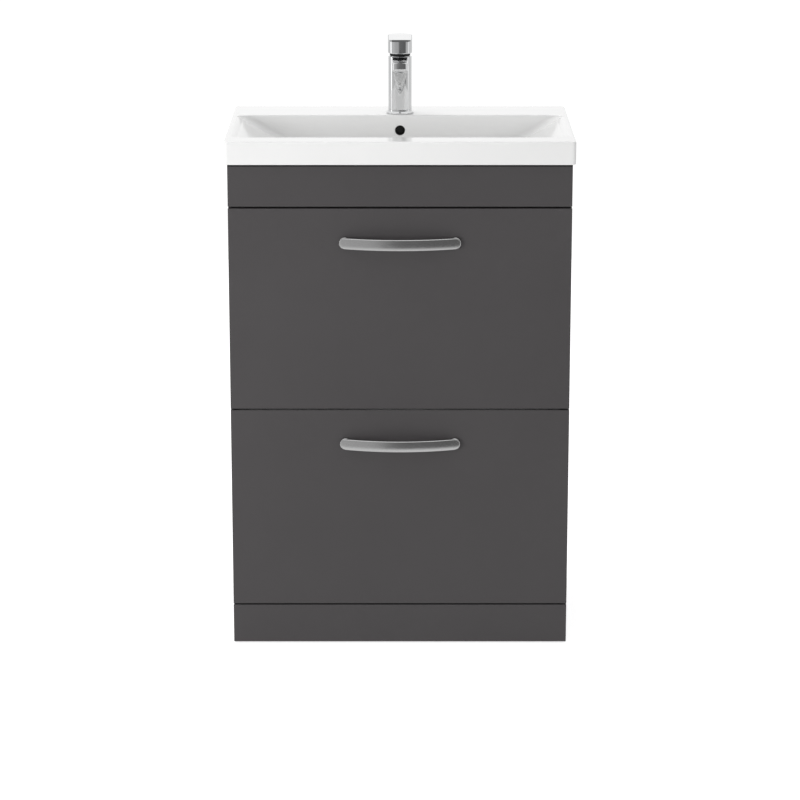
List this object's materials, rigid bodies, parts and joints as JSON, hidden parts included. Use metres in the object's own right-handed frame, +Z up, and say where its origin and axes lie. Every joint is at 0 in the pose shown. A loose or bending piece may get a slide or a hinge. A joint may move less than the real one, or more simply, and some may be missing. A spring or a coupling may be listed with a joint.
{
  "type": "bathroom vanity cabinet",
  "caption": "Floor-standing vanity cabinet with full-width drawers, bow handles, a ceramic basin with a sloping bowl, and a chrome lever mixer tap.",
  "frame": {"origin": "centre of the footprint box on the floor", "axes": "+X to the right seen from the front, +Y to the wall behind, +Z up"},
  "size_m": [0.61, 0.4104, 1.061],
  "materials": {
    "board_grey": "satin lacquered board",
    "board_inner": "textured melamine",
    "glazed_white": "gloss glaze",
    "chrome": "polished",
    "handle_metal": "satin",
    "zinc_steel": "zinc plated",
    "black_plastic": "matt",
    "white_plastic": "matt",
    "black_rubber": "matt",
    "copper_tube": "drawn tube"
  },
  "bodies": {
    "cabinet": {"side_left": "board_grey", "side_right": "board_grey", "base_panel": "board_inner", "plinth": "board_grey", "fascia": "board_grey", "front_rail": "board_grey", "rear_top_rail": "board_inner", "rear_mid_rail": "board_inner", "rear_low_rail": "board_inner", "cam_fittings": "zinc_steel", "corner_blocks": "white_plastic", "wall_brackets": "zinc_steel", "floor_glides": "black_plastic", "rail_upper_left": "zinc_steel", "rail_upper_right": "zinc_steel", "rail_lower_left": "zinc_steel", "rail_lower_right": "zinc_steel", "rail_screws": "zinc_steel", "basin_bead": "black_rubber", "basin": "glazed_white", "basin_overflow": "glazed_white", "waste_body": "chrome", "waste_washer": "black_rubber", "waste_nut": "chrome", "tap_gasket": "black_rubber", "tap_base": "chrome", "tap_body": "chrome", "tap_aerator": "zinc_steel", "tap_cartridge": "white_plastic", "tap_collar": "black_plastic", "tap_stud": "zinc_steel", "tap_clamp": "zinc_steel", "tap_nut": "zinc_steel", "tap_tails": "copper_tube"},
    "waste_plug": {"waste_plug": "chrome"},
    "tap_turn": {"tap_turntable": "white_plastic"},
    "tap_lever": {"tap_spindle": "zinc_steel", "tap_handle": "chrome", "tap_plug": "chrome"},
    "upper_drawer": {"upper_front": "board_grey", "upper_base": "board_inner", "upper_side_left": "board_inner", "upper_side_right": "board_inner", "upper_back": "board_inner", "upper_u_wall": "board_inner", "upper_handle": "handle_metal", "upper_fixings": "zinc_steel", "upper_slides": "zinc_steel"},
    "lower_drawer": {"lower_front": "board_grey", "lower_base": "board_inner", "lower_side_left": "board_inner", "lower_side_right": "board_inner", "lower_back": "board_inner", "lower_handle": "handle_metal", "lower_fixings": "zinc_steel", "lower_slides": "zinc_steel"},
    "upper_mid": {"upper_mid_runners": "zinc_steel", "upper_ball_strips": "black_plastic"},
    "lower_mid": {"lower_mid_runners": "zinc_steel", "lower_ball_strips": "black_plastic"}
  },
  "joints": [
    {"name": "upper_drawer_slide", "type": "slide", "parent": "cabinet", "child": "upper_drawer", "axis": [0, -1, 0], "range_m": [0, 0.3]},
    {"name": "upper_mid_slide", "type": "slide", "parent": "cabinet", "child": "upper_mid", "axis": [0, -1, 0], "range_m": [0, 0.15]},
    {"name": "lower_drawer_slide", "type": "slide", "parent": "cabinet", "child": "lower_drawer", "axis": [0, -1, 0], "range_m": [0, 0.3]},
    {"name": "lower_mid_slide", "type": "slide", "parent": "cabinet", "child": "lower_mid", "axis": [0, -1, 0], "range_m": [0, 0.15]},
    {"name": "tap_turn_hinge", "type": "hinge", "parent": "cabinet", "child": "tap_turn", "pos_m": [0, 0.12625, 1.0182], "axis": [0, 0, 1], "range_deg": [-45, 45]},
    {"name": "tap_lift_hinge", "type": "hinge", "parent": "tap_turn", "child": "tap_lever", "pos_m": [0, 0.12625, 1], "axis": [-1, 0, 0], "range_deg": [0, 20]},
    {"name": "waste_plug_slide", "type": "slide", "parent": "cabinet", "child": "waste_plug", "axis": [0, 0, 1], "range_m": [0, 0.008]}
  ],
  "couplings": [
    {"joint": "upper_mid_slide", "follows": "upper_drawer_slide", "ratio": 0.5},
    {"joint": "lower_mid_slide", "follows": "lower_drawer_slide", "ratio": 0.5}
  ]
}
